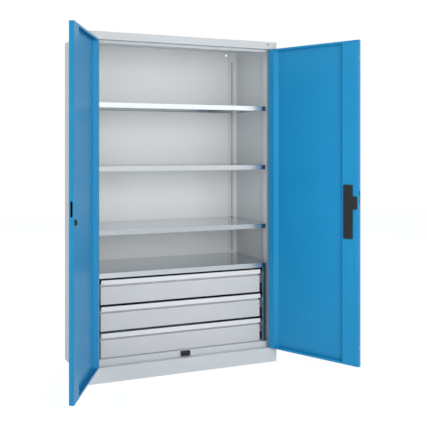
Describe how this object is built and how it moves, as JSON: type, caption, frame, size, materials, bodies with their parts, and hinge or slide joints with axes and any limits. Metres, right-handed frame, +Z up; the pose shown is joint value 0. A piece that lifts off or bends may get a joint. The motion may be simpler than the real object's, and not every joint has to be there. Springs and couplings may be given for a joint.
{
  "type": "tool cabinet with doors",
  "caption": "Tall steel tool cabinet with two hinged doors, adjustable shelves, a block of drawers on telescopic slides and a three point rod lock.",
  "frame": {"origin": "on the floor under the middle of the cabinet's plan", "axes": "+X to the cabinet's right as seen from the front, +Y to its back, +Z up"},
  "size_m": [1.6946, 1.0047, 1.95],
  "materials": {
    "carcase_paint": "light grey powder coat, fine texture",
    "door_paint": "light blue powder coat, satin",
    "galvanised": "galvanised sheet, bright",
    "drawer_paint": "light grey coated drawer front",
    "slide_steel": "zinc plated slide steel",
    "zinc_steel": "zinc plated steel",
    "black_plastic": "black moulded plastic, fine grain",
    "grey_plastic": "grey plastic plug",
    "handle_casting": "black coated zinc casting",
    "bush_plastic": "natural acetal",
    "lock_chrome": "chrome plated lock cylinder"
  },
  "bodies": {
    "carcase": {"left_side_panel": "carcase_paint", "right_side_panel": "carcase_paint", "back_panel": "carcase_paint", "top_panel": "carcase_paint", "bottom_panel": "carcase_paint", "plinth": "carcase_paint", "rear_left_upright": "carcase_paint", "rear_right_upright": "carcase_paint", "front_left_upright": "carcase_paint", "front_right_upright": "carcase_paint", "shelf_upper": "galvanised", "shelf_middle": "galvanised", "shelf_lower": "galvanised", "drawer_block_cover": "galvanised", "drawer_block_left_side": "galvanised", "drawer_block_right_side": "galvanised", "drawer_block_rear_tie": "galvanised", "shelf_clips_upper": "zinc_steel", "shelf_clips_middle": "zinc_steel", "shelf_clips_lower": "zinc_steel", "cabinet_rails_left": "slide_steel", "cabinet_rails_right": "slide_steel", "door_stop_block": "black_plastic", "fascia_plug": "grey_plastic", "pivot_bushes": "bush_plastic"},
    "drawer_1": {"drawer_1_box": "galvanised", "drawer_1_front": "drawer_paint", "drawer_1_grip": "drawer_paint", "drawer_1_rails": "slide_steel"},
    "drawer_1_middle_members": {"drawer_1_middle_rails": "slide_steel"},
    "drawer_2": {"drawer_2_box": "galvanised", "drawer_2_front": "drawer_paint", "drawer_2_grip": "drawer_paint", "drawer_2_rails": "slide_steel"},
    "drawer_2_middle_members": {"drawer_2_middle_rails": "slide_steel"},
    "drawer_3": {"drawer_3_box": "galvanised", "drawer_3_front": "drawer_paint", "drawer_3_grip": "drawer_paint", "drawer_3_rails": "slide_steel"},
    "drawer_3_middle_members": {"drawer_3_middle_rails": "slide_steel"},
    "left_door": {"left_door_pan": "door_paint", "left_door_stiffener": "door_paint", "left_door_pivots": "zinc_steel", "left_strike_insert": "black_plastic", "left_door_buffer": "black_plastic"},
    "right_door": {"right_door_pan": "door_paint", "right_door_stiffener": "door_paint", "right_door_pivots": "zinc_steel", "edge_rivets": "zinc_steel", "lock_case": "zinc_steel", "lock_cover": "black_plastic", "rod_guides": "black_plastic", "handle_rose": "black_plastic"},
    "handle": {"turning_handle": "handle_casting", "lock_pinion": "zinc_steel"},
    "key_plug": {"lock_cylinder": "lock_chrome"},
    "upper_rod": {"upper_lock_rod": "zinc_steel"},
    "lower_rod": {"lower_lock_rod": "zinc_steel"},
    "side_bolt_slider": {"side_bolt": "zinc_steel"}
  },
  "joints": [
    {"name": "left_door_hinge", "type": "hinge", "parent": "carcase", "child": "left_door", "pos_m": [-0.563, -0.246, 1], "axis": [0, 0, -1], "range_deg": [-120.5, 3.5]},
    {"name": "right_door_hinge", "type": "hinge", "parent": "carcase", "child": "right_door", "pos_m": [0.563, -0.246, 1], "axis": [0, 0, 1], "range_deg": [-117.2, 6.8]},
    {"name": "drawer_1_slide", "type": "slide", "parent": "carcase", "child": "drawer_1", "axis": [0, -1, 0], "range_m": [0, 0.4]},
    {"name": "drawer_1_middle_slide", "type": "slide", "parent": "carcase", "child": "drawer_1_middle_members", "axis": [0, -1, 0], "range_m": [0, 0.2]},
    {"name": "drawer_2_slide", "type": "slide", "parent": "carcase", "child": "drawer_2", "axis": [0, -1, 0], "range_m": [0, 0.4]},
    {"name": "drawer_2_middle_slide", "type": "slide", "parent": "carcase", "child": "drawer_2_middle_members", "axis": [0, -1, 0], "range_m": [0, 0.2]},
    {"name": "drawer_3_slide", "type": "slide", "parent": "carcase", "child": "drawer_3", "axis": [0, -1, 0], "range_m": [0, 0.4]},
    {"name": "drawer_3_middle_slide", "type": "slide", "parent": "carcase", "child": "drawer_3_middle_members", "axis": [0, -1, 0], "range_m": [0, 0.2]},
    {"name": "handle_turn", "type": "hinge", "parent": "right_door", "child": "handle", "pos_m": [0.79579, -0.69021, 0.998], "axis": [0.8894, 0.4571, 0], "range_deg": [0, 90]},
    {"name": "key_turn", "type": "hinge", "parent": "handle", "child": "key_plug", "pos_m": [0.79579, -0.69021, 0.998], "axis": [0.8894, 0.4571, 0], "range_deg": [0, 90]},
    {"name": "upper_rod_slide", "type": "slide", "parent": "right_door", "child": "upper_rod", "axis": [0, 0, 1], "range_m": [0, 0.0177]},
    {"name": "lower_rod_slide", "type": "slide", "parent": "right_door", "child": "lower_rod", "axis": [0, 0, -1], "range_m": [0, 0.0177]},
    {"name": "side_bolt_slide", "type": "slide", "parent": "right_door", "child": "side_bolt_slider", "axis": [0.4571, -0.8894, 0], "range_m": [0, 0.0177]}
  ],
  "couplings": [
    {"joint": "drawer_1_middle_slide", "follows": "drawer_1_slide", "ratio": 0.5},
    {"joint": "drawer_2_middle_slide", "follows": "drawer_2_slide", "ratio": 0.5},
    {"joint": "drawer_3_middle_slide", "follows": "drawer_3_slide", "ratio": 0.5},
    {"joint": "upper_rod_slide", "follows": "handle_turn", "m_per_rad": 0.01125},
    {"joint": "lower_rod_slide", "follows": "handle_turn", "m_per_rad": 0.01125},
    {"joint": "side_bolt_slide", "follows": "handle_turn", "m_per_rad": 0.01125}
  ]
}
